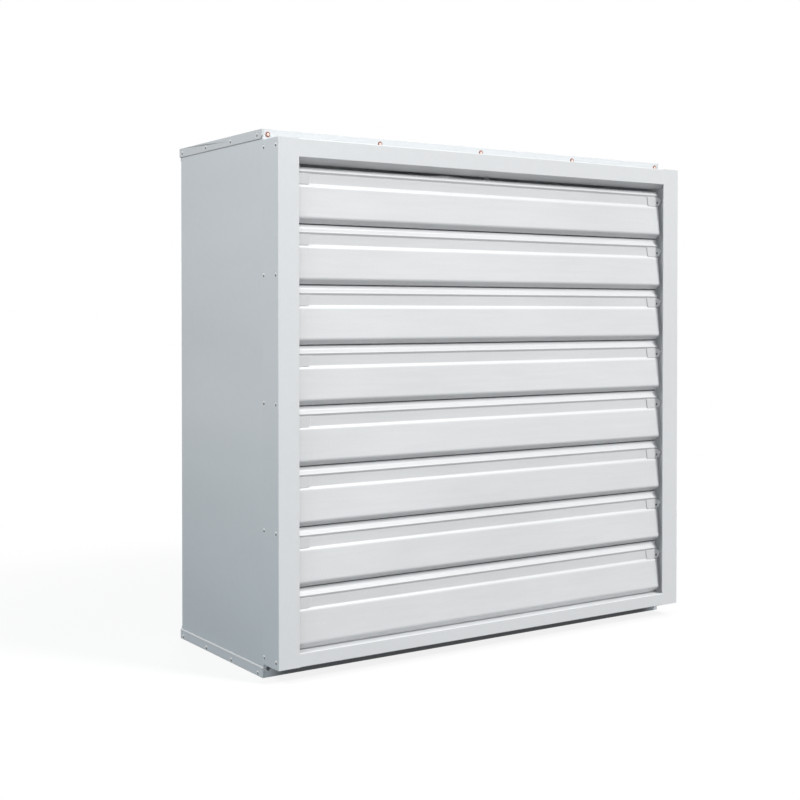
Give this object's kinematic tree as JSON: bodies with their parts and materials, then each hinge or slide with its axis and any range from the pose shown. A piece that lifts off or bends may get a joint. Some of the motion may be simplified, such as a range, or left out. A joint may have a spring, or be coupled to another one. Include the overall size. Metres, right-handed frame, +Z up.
{
  "type": "axial box fan",
  "caption": "Square sheet-metal exhaust fan with a gravity louvre shutter in front, belt-driven blades, motor and wire inlet guard inside.",
  "frame": {"origin": "on the floor plane under the middle of the whole fan", "axes": "+Z up; the louvre shutter faces -Y and the inlet guard faces +Y; +X is to the right seen from the shutter"},
  "size_m": [1, 0.415, 1],
  "materials": {
    "coated_sheet": "white-grey coated sheet steel, fine grain",
    "side_sheet": "bluish-grey coated sheet steel, fine grain",
    "louvre_sheet": "white-grey roll-formed sheet",
    "zinc_steel": "zinc-plated steel",
    "cast_grey": "dark grey enamelled casting",
    "motor_blue": "dark blue machine enamel",
    "turned_steel": "bright steel",
    "black_rubber": "matt black V-belt rubber",
    "black_plastic": "black nylon"
  },
  "bodies": {
    "housing": {"left_side_panel": "side_sheet", "right_side_panel": "side_sheet", "top_panel": "side_sheet", "bottom_panel": "side_sheet", "orifice_plate": "coated_sheet", "left_stile": "coated_sheet", "right_stile": "coated_sheet", "top_rail": "coated_sheet", "bottom_rail": "coated_sheet", "left_support_beam": "zinc_steel", "right_support_beam": "zinc_steel", "bearing_bridge": "zinc_steel", "bearing_housing": "cast_grey", "front_bearing": "turned_steel", "rear_bearing": "turned_steel", "motor_mount_plate": "zinc_steel", "motor_body": "motor_blue", "motor_fan_cowl": "motor_blue", "terminal_box": "motor_blue", "cable_gland": "black_plastic", "inlet_guard": "zinc_steel", "drive_belt": "black_rubber"},
    "louvre_1": {"louvre_1": "louvre_sheet", "louvre_1_left_clip": "zinc_steel", "louvre_1_right_clip": "zinc_steel"},
    "louvre_2": {"louvre_2": "louvre_sheet", "louvre_2_left_clip": "zinc_steel", "louvre_2_right_clip": "zinc_steel"},
    "louvre_3": {"louvre_3": "louvre_sheet", "louvre_3_left_clip": "zinc_steel", "louvre_3_right_clip": "zinc_steel"},
    "louvre_4": {"louvre_4": "louvre_sheet", "louvre_4_left_clip": "zinc_steel", "louvre_4_right_clip": "zinc_steel"},
    "louvre_5": {"louvre_5": "louvre_sheet", "louvre_5_left_clip": "zinc_steel", "louvre_5_right_clip": "zinc_steel"},
    "louvre_6": {"louvre_6": "louvre_sheet", "louvre_6_left_clip": "zinc_steel", "louvre_6_right_clip": "zinc_steel"},
    "louvre_7": {"louvre_7": "louvre_sheet", "louvre_7_left_clip": "zinc_steel", "louvre_7_right_clip": "zinc_steel"},
    "louvre_8": {"louvre_8": "louvre_sheet", "louvre_8_left_clip": "zinc_steel", "louvre_8_right_clip": "zinc_steel"},
    "tie_bar": {"tie_bar": "zinc_steel"},
    "impeller": {"fan_shaft": "turned_steel", "impeller_hub": "cast_grey", "blade_1": "turned_steel", "blade_2": "turned_steel", "blade_3": "turned_steel", "blade_4": "turned_steel", "blade_5": "turned_steel", "blade_6": "turned_steel", "blade_clamp_plate": "zinc_steel", "driven_pulley": "cast_grey"},
    "motor_rotor": {"motor_shaft": "turned_steel", "drive_pulley": "cast_grey"}
  },
  "joints": [
    {"name": "louvre_1_swing", "type": "hinge", "parent": "housing", "child": "louvre_1", "pos_m": [0, -0.19035, 0.91135], "axis": [-1, 0, 0], "range_deg": [0, 75]},
    {"name": "louvre_2_swing", "type": "hinge", "parent": "housing", "child": "louvre_2", "pos_m": [0, -0.19035, 0.80105], "axis": [-1, 0, 0], "range_deg": [0, 75]},
    {"name": "louvre_3_swing", "type": "hinge", "parent": "housing", "child": "louvre_3", "pos_m": [0, -0.19035, 0.69075], "axis": [-1, 0, 0], "range_deg": [0, 75]},
    {"name": "louvre_4_swing", "type": "hinge", "parent": "housing", "child": "louvre_4", "pos_m": [0, -0.19035, 0.58045], "axis": [-1, 0, 0], "range_deg": [0, 75]},
    {"name": "louvre_5_swing", "type": "hinge", "parent": "housing", "child": "louvre_5", "pos_m": [0, -0.19035, 0.47015], "axis": [-1, 0, 0], "range_deg": [0, 75]},
    {"name": "louvre_6_swing", "type": "hinge", "parent": "housing", "child": "louvre_6", "pos_m": [0, -0.19035, 0.35985], "axis": [-1, 0, 0], "range_deg": [0, 75]},
    {"name": "louvre_7_swing", "type": "hinge", "parent": "housing", "child": "louvre_7", "pos_m": [0, -0.19035, 0.24955], "axis": [-1, 0, 0], "range_deg": [0, 75]},
    {"name": "louvre_8_swing", "type": "hinge", "parent": "housing", "child": "louvre_8", "pos_m": [0, -0.19035, 0.13925], "axis": [-1, 0, 0], "range_deg": [0, 75]},
    {"name": "tie_bar_pivot", "type": "hinge", "parent": "louvre_1", "child": "tie_bar", "pos_m": [0, -0.15205, 0.94349], "axis": [-1, 0, 0], "range_deg": [-75, 0]},
    {"name": "impeller_spin", "type": "hinge", "parent": "housing", "child": "impeller", "pos_m": [0, -0.05, 0.5], "axis": [0, 1, 0], "continuous": true},
    {"name": "motor_spin", "type": "hinge", "parent": "housing", "child": "motor_rotor", "pos_m": [0, 0.0236, 0.2], "axis": [0, 1, 0], "continuous": true}
  ],
  "couplings": [
    {"joint": "louvre_2_swing", "follows": "louvre_1_swing", "ratio": 1},
    {"joint": "louvre_3_swing", "follows": "louvre_1_swing", "ratio": 1},
    {"joint": "louvre_4_swing", "follows": "louvre_1_swing", "ratio": 1},
    {"joint": "louvre_5_swing", "follows": "louvre_1_swing", "ratio": 1},
    {"joint": "louvre_6_swing", "follows": "louvre_1_swing", "ratio": 1},
    {"joint": "louvre_7_swing", "follows": "louvre_1_swing", "ratio": 1},
    {"joint": "louvre_8_swing", "follows": "louvre_1_swing", "ratio": 1},
    {"joint": "tie_bar_pivot", "follows": "louvre_1_swing", "ratio": -1},
    {"joint": "motor_spin", "follows": "impeller_spin", "ratio": 3.4402}
  ]
}
